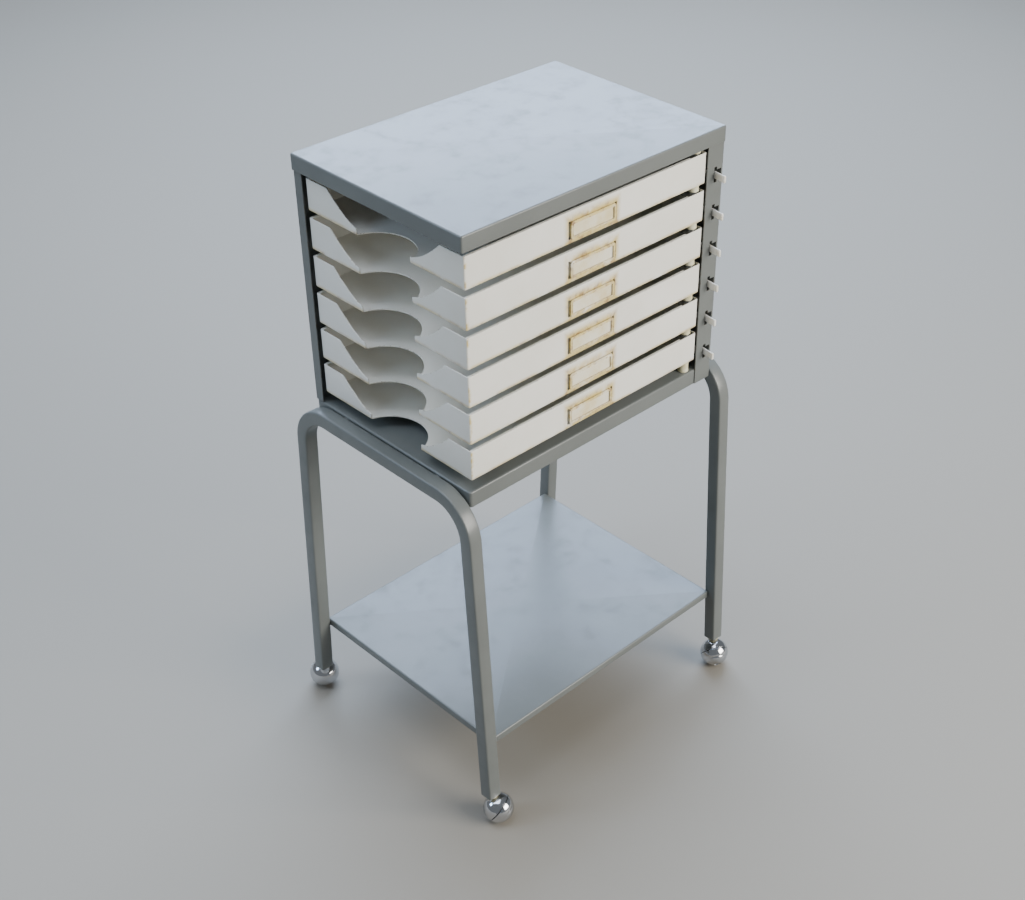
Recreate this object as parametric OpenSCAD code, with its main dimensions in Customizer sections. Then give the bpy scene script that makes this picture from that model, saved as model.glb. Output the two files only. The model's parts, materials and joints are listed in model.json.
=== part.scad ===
// Flat file cabinet: six sheet trays that swing out on one upright rod,
// in a sheet-steel case carried by two bent-tube frames on ball casters.
// Millimetres. +Z is up, the front faces -Y, the origin is on the floor below the centre.

/* [Case] */
// Width of the lid
lid_w = 420; // [360:1:560]
// Depth of the lid
lid_d = 289; // [240:1:400]
// Height of the lid's turned-down lip
lid_lip = 20; // [14:1:30]
// Radius of the lid's upright corners
lid_corner_r = 2; // [2:0.5:8]
// Lid lip to case wall, at the ends
end_inset = 1.6; // [1.3:0.1:6]
// Lid lip to case wall, front and back
front_inset = 2.4; // [2.4:0.1:6]
// Thickness of the case sheets
sheet = 1.2; // [0.8:0.1:1.2]
// Height of the base pan
base_h = 21; // [18:1:36]
// Gap between the top tray and the lid's lip
top_gap = 6; // [3:1:15]
// Gap between the base and the lowest tray
floor_gap = 15.5; // [6:0.5:25]

/* [Trays] */
// Distance from one tray to the next
tray_pitch = 49; // [42:1:70]
// Free height between two trays
tray_gap = 9; // [6:0.5:14]
// Thickness of the tray sheet
tray_sheet = 1.2; // [0.8:0.1:1.6]
// Tray end to case wall, at the open left end
tray_left_inset = 3.4; // [2:0.1:8]
// Depth of the rear post, which the trays stop in front of
rear_post_d = 12; // [8:1:20]
// Clear space between the trays and the rear post
tray_rear_clear = 3; // [1:0.5:10]
// Width of the hemmed edge along the tray's front and back
hem_w = 3.2; // [2:0.1:4]
// Width of the hand scoop at the top of the left wall
scoop_top_w = 191; // [140:1:200]
// Width of the hand scoop at the tray floor
scoop_floor_w = 92; // [60:1:130]
// Height of the left wall's edge beside the floor notch, before it flows outwards
scoop_lip = 6.5; // [3:0.5:12]
// How far the hand scoop runs into the tray floor
scoop_deep = 35; // [20:1:45]

/* [Hinge] */
// Radius of the hinge rod
rod_r = 4; // [3:0.1:5]
// Rod to the right end of the trays
rod_to_end = 11; // [10:0.5:12]
// Rod to the front face of the trays
rod_to_front = 9; // [8.5:0.1:9.5]
// Radius of the tray sleeve
sleeve_r = 6.3; // [6:0.1:6.6]
// Radius of the spacer between two sleeves
spacer_r = 7; // [6:0.1:7.2]
// Running clearance of the sleeve on the rod
run_clear = 0.05; // [0.02:0.01:0.1]
// End clearance between a sleeve and a spacer
end_clear = 0.3; // [0.3:0.1:0.6]

/* [Push levers] */
// Rod to the line of the lever's tab
lever_r = 28.6; // [27.5:0.1:29.2]
// Lean of the tab from square to the post, in degrees
tab_tilt = 8; // [5:0.5:14]
// Length of tab in front of the post
tab_len = 18.5; // [12:0.5:19]
// Height of the lever strip
lever_h = 7; // [6:1:12]
// Thickness of the lever strip
lever_t = 1.6; // [1.2:0.1:2]
// Thickness of the plastic cap on the tab
cap_t = 3; // [2.6:0.1:4]
// Height of the plastic cap
cap_h = 9; // [8:1:14]
// Height of the slot's tall end, where the cap is fitted
slot_h = 20; // [16:1:30]
// Play between the moving cap and the slot's ends
slot_play = 0.8; // [0.6:0.1:1.4]
// Play above and below the moving cap
slot_rise = 1.5; // [1:0.1:3]

/* [Label holders] */
// Width of the label holder
label_w = 72; // [50:1:100]
// Height of the label holder
label_h = 22; // [16:1:26]
// How far the holder stands off the tray
label_off = 1.4; // [1:0.1:2]
// Width of the border round the holder's window
label_border = 3.5; // [3:0.5:6]
// Width of the slots that the holder hooks into
label_slot_w = 2.4; // [2:0.1:5]

/* [Frames] */
// Side of the square tube
tube = 19; // [16:0.5:24]
// Wall of the square tube
tube_wall = 1.5; // [1:0.1:2.5]
// Bend radius at the tube's centre line
bend_r = 50; // [35:1:80]
// Case wall to tube, filled by a washer
frame_gap = 2.6; // [1.5:0.1:5]
// Frame height above the casters
frame_h = 458.5; // [300:0.5:700]
// Lid edge to the leg's outer face, at the bar's height
leg_out = 17; // [5:0.5:40]
// Outward slope of the legs, in degrees
leg_splay = 2.9; // [0:0.1:6]
// Shelf top to tube end
shelf_up = 85.5; // [60:0.5:200]
// Depth of the shelf's lip
shelf_lip = 10; // [8:1:20]

/* [Casters] */
// Height of a caster under the tube end; the ball fills it
caster_h = 43; // [38:0.5:50]
// Sideways offset of the ball from its stem
trail = 10; // [8:0.5:12]
// Radius of the caster stem
stem_r = 5; // [4:0.1:5.5]
// Tilt of the wheel's axle from upright
axle_tilt = 55; // [45:1:65]

/* [Hidden] */
$fn = 64;
TRAYS = [1:6];
tray_count = 6;
CORNERS = ["front_left", "front_right", "rear_left", "rear_right"];
SPOT = [[-1, -1], [1, -1], [-1, 1], [1, 1]];
TRAY_PIECES = ["tray", "hinge_sleeve", "push_lever", "lever_cap", "label_holder"];
CASTER_PIECES = ["caster_hood", "caster_wheel", "caster_axle"];

tiny = 0.01;
over = 1;

tray_h = tray_pitch - tray_gap;
base_top = caster_h + frame_h;
base_bottom = base_top - base_h;
stack_h = tray_count * tray_pitch - tray_gap;
lid_top = base_top + floor_gap + stack_h + top_gap + lid_lip;
lid_under = lid_top - sheet;

case_x = lid_w / 2 - end_inset;
case_y = lid_d / 2 - front_inset;

tray_x0 = -case_x + tray_left_inset;
tray_front = -case_y + 0.3;
rear_post_y = case_y - sheet - rear_post_d;
tray_back = rear_post_y - tray_rear_clear;
case_to_rod = 40.4;
rod_x = case_x - case_to_rod;
rod_y = tray_front + rod_to_front;
tray_x1 = rod_x + rod_to_end;
scoop_y = (tray_front + tray_back) / 2;
label_x = (tray_x0 + tray_x1) / 2;

rod_below = 9;
nut_h = 5;
nut_r = 7.5;

post_x0 = rod_x + rod_to_end + 1.3;
post_front = -case_y - sheet;
post_return = 24;
rear_post_w = 18;

// The tab's line passes the rod at lever_r and leans from square by tab_tilt.
// Its lengths are counted from the point that is nearest to the rod, just behind the post.
post_mid = rod_y - (post_front + sheet / 2);
tab_back = 8;
tab_end = (post_mid - lever_r * sin(tab_tilt)) / cos(tab_tilt) + tab_len;
cap_end = tab_end - cap_t / 2;
cap_sweep_r = sqrt(pow(lever_r, 2) + pow(cap_end, 2)) + cap_t / 2;
cap_half = (cap_t / 2 + sheet / 2 * sin(tab_tilt)) / cos(tab_tilt);
slot_x0 = rod_x + (lever_r - post_mid * sin(tab_tilt)) / cos(tab_tilt) - cap_half - slot_play;
slot_x1 = rod_x + sqrt(pow(cap_sweep_r, 2) - pow(post_mid - sheet / 2, 2)) + slot_play;
slot_tall_w = 2 * (cap_half + slot_play);
lever_up = 3;
bracket_before = 3;
bracket_behind = 10;

bar_z = base_top - tube / 2;
leg_y = lid_d / 2 + leg_out - tube / 2;
leg_foot_y = leg_y + (bar_z - caster_h) * tan(leg_splay);
frame_x = case_x + frame_gap + tube / 2;
bend_turn = 90 - leg_splay;
bend_run = bend_r * tan(bend_turn / 2);
frame_bolt_y = 85;
bolt_r = 3;
bolt_in = 6;
bolt_head_r = 5;
bolt_head_h = 3;
washer_r = 7;

shelf_top = caster_h + shelf_up;
shelf_x = frame_x - tube / 2;
screw_r = 1.4;
screw_head_r = 2.2;
screw_head_h = 2;
// The screws just clear the tube's inner wall, and the shelf's front lip just clears their heads.
shelf_screw_z = shelf_top - shelf_lip / 2;
shelf_screw_y = leg_y + (bar_z - shelf_screw_z) * tan(leg_splay) - (tube / 2 - tube_wall - screw_r - 0.2);
shelf_y = shelf_screw_y + screw_head_r + sheet + 0.3;
screw_in = 6;

// The ball keeps clear of the collar, which it passes under as the caster swivels.
socket_h = 30;
collar_h = 1.5;
ball_r = (caster_h - collar_h - 0.9) / 2;
caster_turn = 30;
boss_r = 7;
boss_z = ball_r + 11;
boss_top = caster_h - collar_h - 0.4;
stem_top = caster_h + socket_h - 4;
hood_wall = 2;
hub_r = 5.5;
axle_r = 2.5;
axle_in = 13;
axle_head_r = 4.2;
axle_head_h = 1.6;
recess_r = 5;
recess_h = 4;
ball_gap = 0.4;

sleeve_plate = 1.5;
sleeve_plate_x = 14;
sleeve_plate_y = 12;
hem_to_rod = 16;
tray_corner_r = 2;
label_up = 5.5;
label_t = 0.8;
label_hook = 1.5;

paint_grey = [0.55, 0.57, 0.58];
paint_cream = [0.89, 0.88, 0.86];
nylon = [0.85, 0.82, 0.68];
plastic_white = [0.95, 0.95, 0.94];
steel = [0.62, 0.62, 0.63];
chrome = [0.75, 0.76, 0.78];

function tray_z(i) = lid_top - lid_lip - top_gap - tray_h - (i - 1) * tray_pitch;

function label_z(i) = tray_z(i) + label_up;
function lever_mid(i) = tray_z(i) + lever_up + lever_h / 2;

module box(x0, x1, y0, y1, z0, z1) {
    translate([x0, y0, z0])
        cube([x1 - x0, y1 - y0, z1 - z0]);
}

// A rectangle about the origin with round corners, from exact circles.
module round_rect(w, d, r) {
    square([w - 2 * r, d], center = true);
    square([w, d - 2 * r], center = true);
    for (sx = [-1, 1], sy = [-1, 1])
        translate([sx * (w / 2 - r), sy * (d / 2 - r)])
            circle(r);
}

// An open box of sheet, upside down: a top with four lips.
module pan(w, d, h, r, t) {
    difference() {
        linear_extrude(h)
            round_rect(w, d, r);
        translate([0, 0, -over])
            linear_extrude(h - t + over)
                round_rect(w - 2 * t, d - 2 * t, r - t);
    }
}

module lid() {
    color(paint_grey)
        translate([0, 0, lid_top - lid_lip])
            pan(lid_w, lid_d, lid_lip, lid_corner_r, sheet);
}

module base_pan() {
    color(paint_grey)
        difference() {
            translate([0, 0, base_bottom])
                pan(2 * case_x, 2 * case_y, base_h, 3, sheet);
            translate([rod_x, rod_y, base_bottom])
                cylinder(r = rod_r, h = base_h + over);
            frame_bolt_bores();
        }
}

// Keeps a piece of the case inside the lid's lip, round corners and all.
module inside_lid() {
    intersection() {
        children();
        translate([0, 0, base_bottom - over])
            linear_extrude(lid_top - base_bottom)
                round_rect(lid_w - 2 * sheet, lid_d - 2 * sheet, lid_corner_r - sheet);
    }
}

module back_panel() {
    color(paint_grey)
        box(-case_x, case_x, case_y - sheet, case_y, base_top, lid_under);
}

module side_panel() {
    color(paint_grey)
        box(case_x - sheet, case_x, -case_y + post_return, case_y - sheet, base_top, lid_under);
}

module rear_post() {
    color(paint_grey)
        union() {
            box(-case_x, -case_x + sheet, rear_post_y, case_y - sheet, base_top, lid_under);
            box(-case_x, -case_x + rear_post_w, case_y - 2 * sheet, case_y - sheet, base_top, lid_under);
        }
}

module front_post() {
    color(paint_grey)
        difference() {
            inside_lid()
                union() {
                    box(post_x0, case_x, post_front, -case_y, base_bottom, lid_under);
                    box(case_x - sheet, case_x, -case_y - tiny, -case_y + post_return, base_top, lid_under);
                }
            for (i = TRAYS)
                translate([0, 0, lever_mid(i)]) {
                    box(slot_x0, slot_x0 + slot_tall_w, post_front - over, -case_y + over,
                        -slot_h / 2, slot_h / 2);
                    box(slot_x0, slot_x1, post_front - over, -case_y + over,
                        -cap_h / 2 - slot_rise, cap_h / 2 + slot_rise);
                }
        }
}

module hinge_rod() {
    color(steel)
        translate([rod_x, rod_y, base_top - rod_below])
            cylinder(r = rod_r, h = lid_under - base_top + rod_below);
}

module rod_nuts() {
    color(steel)
        for (z = [base_top - sheet - nut_h, lid_under - nut_h])
            translate([rod_x, rod_y, z])
                difference() {
                    cylinder(r = nut_r, h = nut_h, $fn = 6);
                    translate([0, 0, -over])
                        cylinder(r = rod_r, h = nut_h + 2 * over);
                }
}

// Spacer 0 stands on the base, the last one hangs below the upper nut.
module spacers() {
    bottoms = concat([base_top], [for (i = TRAYS) tray_z(tray_count + 1 - i) + tray_h + end_clear]);
    tops = concat([for (i = TRAYS) tray_z(tray_count + 1 - i) - end_clear], [lid_under - nut_h]);
    color(nylon)
        for (k = [0:tray_count])
            translate([rod_x, rod_y, bottoms[k]])
                difference() {
                    cylinder(r = spacer_r, h = tops[k] - bottoms[k]);
                    translate([0, 0, -over])
                        cylinder(r = rod_r + run_clear, h = tops[k] - bottoms[k] + 2 * over);
                }
}

// The scoop's outline in the end wall: y across, z up, from the tray floor up.
module scoop_outline() {
    steps = 12;
    lean = (scoop_top_w - scoop_floor_w) / 2;
    rise = tray_h + tiny - scoop_lip;
    side = concat(
        [[scoop_floor_w / 2, 0]],
        [for (k = [0:steps]) [scoop_floor_w / 2 + lean * pow(k / steps, 2 / 3), scoop_lip + rise * k / steps]]);
    flipped = [for (k = [len(side) - 1:-1:0]) [-side[k][0], side[k][1]]];
    polygon(concat(side, [[scoop_top_w / 2, tray_h + over], [-scoop_top_w / 2, tray_h + over]], flipped));
}

module tray(i) {
    z = tray_z(i);
    color(paint_cream)
        difference() {
            union() {
                difference() {
                    translate([label_x, (tray_front + tray_back) / 2, z])
                        linear_extrude(tray_h)
                            round_rect(tray_x1 - tray_x0, tray_back - tray_front, tray_corner_r);
                    box(tray_x0 + tray_sheet, tray_x1 - tray_sheet, tray_front + tray_sheet,
                        tray_back - tray_sheet, z + tray_sheet, z + tray_h + over);
                }
                for (y = [tray_front + tray_sheet - tiny, tray_back - tray_sheet - hem_w + tiny])
                    box(tray_x0 + tray_sheet, rod_x - hem_to_rod, y, y + hem_w, z + tray_h - tray_sheet, z + tray_h);
            }
            translate([tray_x0 - over, scoop_y, z + tray_sheet])
                rotate([90, 0, 90])
                    linear_extrude(tray_sheet + over + tiny)
                        scoop_outline();
            translate([tray_x0, scoop_y, z - over])
                linear_extrude(tray_sheet + 2 * over)
                    intersection() {
                        translate([scoop_deep - notch_r(), 0])
                            circle(notch_r(), $fn = 96);
                        translate([-2 * over, -scoop_floor_w / 2])
                            square([scoop_deep + 3 * over, scoop_floor_w]);
                    }
            box(tray_x0 - over, tray_x0 + tray_sheet + tiny, scoop_y - scoop_floor_w / 2,
                scoop_y + scoop_floor_w / 2, z - over, z + tray_sheet + tiny);
            translate([rod_x, rod_y, z - over])
                cylinder(r = sleeve_r, h = tray_sheet + 2 * over);
            for (sx = [-1, 1])
                box(label_x + sx * (label_w / 2 + label_slot_w / 2) - label_slot_w / 2 - hook(sx, 1),
                    label_x + sx * (label_w / 2 + label_slot_w / 2) + label_slot_w / 2 + hook(sx, -1),
                    tray_front - over, tray_front + tray_sheet + over, label_z(i), label_z(i) + label_h);
        }
}

// Radius of the circle that cuts the floor notch to its width and depth.
function notch_r() = (pow(scoop_floor_w / 2, 2) + pow(scoop_deep, 2)) / (2 * scoop_deep);

// The slot reaches inwards by the holder's hook, on the holder's side only.
function hook(side, edge) = side == edge ? label_t : 0;

module hinge_sleeve(i) {
    z = tray_z(i);
    wall_x = rod_to_end - tray_sheet;
    wall_y = rod_to_front - tray_sheet;
    color(steel)
        translate([rod_x, rod_y, z])
            difference() {
                union() {
                    cylinder(r = sleeve_r, h = tray_h);
                    for (up = [tray_sheet, tray_h - 2 * sleeve_plate])
                        box(-sleeve_plate_x, wall_x, -wall_y, sleeve_plate_y, up, up + sleeve_plate);
                }
                translate([0, 0, -over])
                    cylinder(r = rod_r + run_clear, h = tray_h + 2 * over);
            }
}

// Moves a piece of the tab from its own line, out along -Y, to its place on the tray.
module on_tab(i) {
    translate([rod_x, rod_y, tray_z(i)])
        rotate([0, 0, -tab_tilt])
            translate([lever_r, 0, 0])
                children();
}

module push_lever(i) {
    // The crosswise strip meets the tab a little inside its end, so that no corners coincide.
    strip_x = lever_r * cos(tab_tilt) + tab_back * sin(tab_tilt);
    strip_y = -lever_r * sin(tab_tilt) + tab_back * cos(tab_tilt) - 0.4;
    color(steel)
        translate([rod_x, rod_y, tray_z(i) + lever_up])
            linear_extrude(lever_h) {
                rotate(-tab_tilt)
                    translate([lever_r - lever_t / 2, 1 - tab_end])
                        square([lever_t, tab_end - 1 + tab_back]);
                translate([rod_to_end, strip_y - lever_t])
                    square([strip_x - rod_to_end, lever_t]);
                translate([rod_to_end, strip_y - lever_t - bracket_before])
                    square([lever_t, lever_t + bracket_before + bracket_behind]);
            }
}

module lever_cap(i) {
    up = lever_up + lever_h / 2 - cap_h / 2;
    cap_root = 3;
    color(plastic_white)
        on_tab(i)
            difference() {
                union() {
                    box(-cap_t / 2, cap_t / 2, -cap_end, -cap_root, up, up + cap_h);
                    translate([0, -cap_end, up])
                        cylinder(r = cap_t / 2, h = cap_h);
                }
                box(-lever_t / 2, lever_t / 2, 1 - tab_end, 0, lever_up, lever_up + lever_h);
            }
}

module label_holder(i) {
    y = tray_front - label_off;
    reach = tray_sheet + label_hook;
    z = label_z(i);
    color(paint_cream)
        difference() {
            union() {
                box(label_x - label_w / 2, label_x + label_w / 2, y - label_t, y, z, z + label_h);
                for (x = [label_x - label_w / 2, label_x + label_w / 2 - label_t])
                    box(x, x + label_t, y - tiny, tray_front + reach, z, z + label_h);
            }
            box(label_x - label_w / 2 + label_border, label_x + label_w / 2 - label_border,
                y - label_t - over, y + over, z + label_border, z + label_h - label_border);
        }
}

// The frame's outline for a tube of width w: x is the depth of the cabinet, y is up.
module frame_outline(w) {
    leg_len = (bar_z - caster_h) / cos(leg_splay);
    bar_half = leg_y - bend_run;
    translate([-bar_half, bar_z - w / 2])
        square([2 * bar_half, w]);
    for (side = [0, 1])
        mirror([side, 0]) {
            translate([bar_half, bar_z - bend_r])
                intersection() {
                    difference() {
                        circle(bend_r + w / 2, $fn = 128);
                        circle(bend_r - w / 2, $fn = 128);
                    }
                    polygon([[0, 0], [0, 2 * bend_r], [2 * bend_r, 2 * bend_r],
                             [2 * bend_r * cos(90 - bend_turn), 2 * bend_r * sin(90 - bend_turn)]]);
                }
            intersection() {
                translate([leg_y, bar_z])
                    rotate(leg_splay)
                        translate([-w / 2, -leg_len - tube])
                            square([w, leg_len + tube - bend_run]);
                translate([0, caster_h])
                    square([2 * leg_foot_y, frame_h]);
            }
        }
}

// Stands an outline up and gives it a thickness centred on x.
module upright(x, thick) {
    translate([x - thick / 2, 0, 0])
        rotate([90, 0, 90])
            linear_extrude(thick)
                children();
}

module u_frame(side) {
    color(paint_grey)
        difference() {
            upright(side * frame_x, tube)
                frame_outline(tube);
            upright(side * frame_x, tube - 2 * tube_wall) {
                frame_outline(tube - 2 * tube_wall);
                for (end = [-1, 1])
                    translate([end * leg_foot_y - tube / 2 + tube_wall, caster_h - over])
                        square([tube - 2 * tube_wall, over + tiny]);
            }
            frame_bolt_bores();
            shelf_screw_bores();
        }
}

// Bolts lie along X, from inside the base pan into the tube's inner wall.
module frame_bolt_bores() {
    for (sx = [-1, 1], sy = [-1, 1])
        translate([sx * (case_x - over - sheet), sy * frame_bolt_y, bar_z])
            rotate([0, sx * 90, 0])
                cylinder(r = bolt_r, h = sheet + frame_gap + tube_wall + 2 * over);
}

module frame_bolts() {
    color(steel)
        for (sx = [-1, 1], sy = [-1, 1])
            translate([sx * (case_x - sheet), sy * frame_bolt_y, bar_z])
                rotate([0, sx * 90, 0]) {
                    translate([0, 0, -bolt_head_h])
                        cylinder(r = bolt_head_r, h = bolt_head_h, $fn = 6);
                    cylinder(r = bolt_r, h = sheet + frame_gap + tube_wall + bolt_in);
                }
}

module frame_washers() {
    color(steel)
        for (sx = [-1, 1], sy = [-1, 1])
            translate([sx * case_x, sy * frame_bolt_y, bar_z])
                rotate([0, sx * 90, 0])
                    difference() {
                        cylinder(r = washer_r, h = frame_gap);
                        translate([0, 0, -over])
                            cylinder(r = bolt_r, h = frame_gap + 2 * over);
                    }
}

module shelf() {
    color(paint_grey)
        difference() {
            translate([0, 0, shelf_top - shelf_lip])
                pan(2 * shelf_x, 2 * shelf_y, shelf_lip, 2, sheet);
            shelf_screw_bores();
        }
}

module shelf_screw_bores() {
    for (sx = [-1, 1], sy = [-1, 1])
        translate([sx * (shelf_x - sheet - over), sy * shelf_screw_y, shelf_screw_z])
            rotate([0, sx * 90, 0])
                cylinder(r = screw_r, h = sheet + tube_wall + 2 * over);
}

module shelf_screws() {
    color(steel)
        for (sx = [-1, 1], sy = [-1, 1])
            translate([sx * (shelf_x - sheet), sy * shelf_screw_y, shelf_screw_z])
                rotate([0, sx * 90, 0]) {
                    translate([0, 0, -screw_head_h])
                        cylinder(r = screw_head_r, h = screw_head_h);
                    cylinder(r = screw_r, h = sheet + tube_wall + screw_in);
                }
}

// Each socket fills the end of a leg and has an upright bore for the caster's stem.
module caster_sockets() {
    inner = tube - 2 * tube_wall;
    color(nylon)
        for (k = [0:3])
            difference() {
                union() {
                    intersection() {
                        upright(SPOT[k][0] * frame_x, inner)
                            frame_outline(inner);
                        translate([SPOT[k][0] * frame_x - tube, SPOT[k][1] * leg_foot_y - 2 * tube, caster_h])
                            cube([2 * tube, 4 * tube, socket_h]);
                    }
                    translate([SPOT[k][0] * frame_x, SPOT[k][1] * leg_foot_y, caster_h - collar_h])
                        cylinder(r = tube / 2 - 0.5, h = collar_h);
                }
                translate([SPOT[k][0] * frame_x, SPOT[k][1] * leg_foot_y, 0])
                    cylinder(r = stem_r + run_clear, h = caster_h + socket_h - 2);
            }
}

// Places a caster: its stem is on the origin's vertical and its ball is off towards -Y.
module at_caster(k) {
    turn = [caster_turn, -caster_turn, 180 - caster_turn, 180 + caster_turn][k];
    translate([SPOT[k][0] * frame_x, SPOT[k][1] * leg_foot_y, 0])
        rotate([0, 0, turn])
            children();
}

// Places a piece in the ball, with +Z along the axle, down and outward to the wheel.
module in_ball() {
    translate([0, -trail, ball_r])
        rotate([180 - axle_tilt, 0, 0])
            children();
}

module half_ball() {
    intersection() {
        sphere(ball_r);
        translate([0, 0, ball_gap / 2])
            cylinder(r = ball_r + over, h = ball_r + over);
    }
}

module caster_hood(k) {
    color(chrome)
        at_caster(k)
            difference() {
                union() {
                    in_ball()
                        difference() {
                            mirror([0, 0, 1])
                                half_ball();
                            difference() {
                                sphere(ball_r - hood_wall);
                                cylinder(r = hub_r, h = 3 * ball_r, center = true);
                            }
                        }
                    difference() {
                        union() {
                            translate([0, 0, boss_z])
                                cylinder(r = boss_r, h = boss_top - boss_z);
                            translate([0, 0, boss_z])
                                cylinder(r = stem_r, h = stem_top - boss_z);
                        }
                        translate([0, -trail, ball_r])
                            sphere(ball_r - hood_wall / 2);
                    }
                }
                in_ball()
                    cylinder(r = axle_r, h = 2 * axle_in, center = true);
            }
}

module caster_wheel(k) {
    color(chrome)
        at_caster(k)
            in_ball()
                difference() {
                    half_ball();
                    cylinder(r = axle_r + run_clear, h = 2 * ball_r);
                    translate([0, 0, ball_r - recess_h])
                        cylinder(r = recess_r, h = recess_h + over);
                }
}

module caster_axle(k) {
    head_z = ball_r - recess_h + 0.3;
    color(steel)
        at_caster(k)
            in_ball() {
                translate([0, 0, -axle_in])
                    cylinder(r = axle_r, h = axle_in + head_z);
                translate([0, 0, head_z])
                    cylinder(r = axle_head_r, h = axle_head_h);
            }
}

lid();
base_pan();
back_panel();
side_panel();
rear_post();
front_post();
hinge_rod();
rod_nuts();
spacers();
u_frame(-1);  // left_frame
u_frame(1);  // right_frame
frame_bolts();
frame_washers();
shelf();
shelf_screws();
caster_sockets();
for (i = TRAYS) {
    tray(i);
    hinge_sleeve(i);
    push_lever(i);
    lever_cap(i);
    label_holder(i);
}
for (k = [0:3]) {
    caster_hood(k);
    caster_wheel(k);
    caster_axle(k);
}
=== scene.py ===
# %% [markdown]
# # A flat file cabinet on ball casters
# Six shallow sheet trays swing out on one upright rod. This first cell loads the measured model,
# which stays fixed.

# %% Load the measured model
import json
import math
import bmesh
import bpy
from mathutils import Matrix, Vector


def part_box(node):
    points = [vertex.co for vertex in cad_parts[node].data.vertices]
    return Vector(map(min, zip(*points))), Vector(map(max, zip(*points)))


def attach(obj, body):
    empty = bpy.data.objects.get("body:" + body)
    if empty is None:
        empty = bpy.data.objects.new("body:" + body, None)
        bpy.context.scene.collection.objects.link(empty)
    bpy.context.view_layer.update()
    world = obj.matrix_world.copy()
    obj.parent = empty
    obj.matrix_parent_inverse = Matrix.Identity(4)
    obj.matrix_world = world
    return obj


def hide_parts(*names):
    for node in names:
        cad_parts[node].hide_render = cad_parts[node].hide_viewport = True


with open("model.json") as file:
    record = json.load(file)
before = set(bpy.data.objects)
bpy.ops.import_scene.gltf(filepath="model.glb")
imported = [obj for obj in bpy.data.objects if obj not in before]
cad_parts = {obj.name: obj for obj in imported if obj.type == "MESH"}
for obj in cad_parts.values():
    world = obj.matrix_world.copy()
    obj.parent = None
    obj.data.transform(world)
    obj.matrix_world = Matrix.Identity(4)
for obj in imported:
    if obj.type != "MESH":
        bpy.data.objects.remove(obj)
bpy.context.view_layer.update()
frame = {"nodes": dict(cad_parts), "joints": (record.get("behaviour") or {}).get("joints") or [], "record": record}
MM = 0.001
TRAYS = range(1, 7)
CORNERS = ["front_left", "front_right", "rear_left", "rear_right"]
JOINTS = {joint["name"]: joint for joint in frame["joints"]}

# %% [markdown]
# ## Camera
# The cabinet is seen from above its open left end. A slightly long lens keeps the edges calm,
# a small roll and shift frame it. The camera is placed by its angles round a point near the shelf.

# %% Camera
def look_from(azimuth, elevation, roll, distance, target, lens, shift):
    """Adds the scene's camera, turned round the target by the angles in degrees."""
    a, e, r = map(math.radians, (azimuth, elevation, roll))
    back = Vector((math.sin(a) * math.cos(e), -math.cos(a) * math.cos(e), math.sin(e)))
    right = Vector((0, 0, 1)).cross(back).normalized()
    up = back.cross(right)
    across = right * math.cos(r) + up * math.sin(r)
    above = up * math.cos(r) - right * math.sin(r)
    camera = bpy.data.objects.new("camera", bpy.data.cameras.new("camera"))
    turn = Matrix((across, above, back)).transposed().to_4x4()
    camera.matrix_world = Matrix.Translation(target + back * distance) @ turn
    camera.data.lens = lens
    camera.data.shift_x, camera.data.shift_y = shift
    camera.data.clip_start = 0.05
    bpy.context.scene.collection.objects.link(camera)
    bpy.context.scene.camera = camera
    return camera


camera = look_from(azimuth=-46.62, elevation=35.54, roll=1.25, distance=2.1154,
                   target=Vector((0.0951, -0.0592, 0.3265)), lens=54.87, shift=(-0.0854, 0.0293))
print("camera at", [round(v, 3) for v in camera.location])

# %% [markdown]
# ## Light and floor
# A wide soft light from above stands for the sky. A large panel behind the right shoulder is what the
# lid and the shelf mirror towards the camera, so they are the brightest grey faces. A warmer window
# at the front right lights the tray fronts. A small cool lamp behind the left end skims the tray ends
# and the frame's bar, and leaves the trays' insides dark.

# %% Colour and node helpers
def rgb(code):
    """An sRGB hex colour as linear red, green, blue and alpha."""
    parts = [int(code[k:k + 2], 16) / 255 for k in (1, 3, 5)]
    return tuple(v / 12.92 if v <= 0.04045 else ((v + 0.055) / 1.055) ** 2.4 for v in parts) + (1.0,)


def add(tree, kind, inputs=None, **settings):
    """Adds a node, sets its settings, and links or fills its inputs, named or numbered."""
    node = tree.nodes.new(kind)
    for key, value in settings.items():
        setattr(node, key, value)
    for key, value in (inputs or {}).items():
        if isinstance(value, bpy.types.NodeSocket):
            tree.links.new(value, node.inputs[key])
        else:
            node.inputs[key].default_value = value
    return node


# %% Floor and lights
def area_light(name, place, aim, size, power, colour):
    """A rectangular lamp at a place, turned to face its aim."""
    lamp = bpy.data.lights.new(name, "AREA")
    lamp.shape = "RECTANGLE"
    lamp.size, lamp.size_y = size
    lamp.energy = power
    lamp.color = rgb(colour)[:3]
    holder = bpy.data.objects.new(name, lamp)
    holder.location = place
    holder.rotation_euler = (Vector(aim) - Vector(place)).to_track_quat("-Z", "Y").to_euler()
    bpy.context.scene.collection.objects.link(holder)


CASE_MIDDLE, CASE_TOP = (0, 0, 0.5), (0, 0, 0.6)
FLOOR_REACH = 9

area_light("sky", (-0.4, 0.6, 3.4), CASE_TOP, size=(3.0, 3.0), power=112, colour="#E6EFFF")
area_light("panel", (1.9, 1.8, 2.5), CASE_MIDDLE, size=(3.0, 3.0), power=250, colour="#C9DFFF")
area_light("window", (1.2, -3.2, 1.7), CASE_MIDDLE, size=(2.2, 2.0), power=190, colour="#FFFAF2")
area_light("fill", (-2.5, 1.5, 2.0), CASE_MIDDLE, size=(0.9, 0.9), power=30, colour="#C6E0FF")

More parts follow.
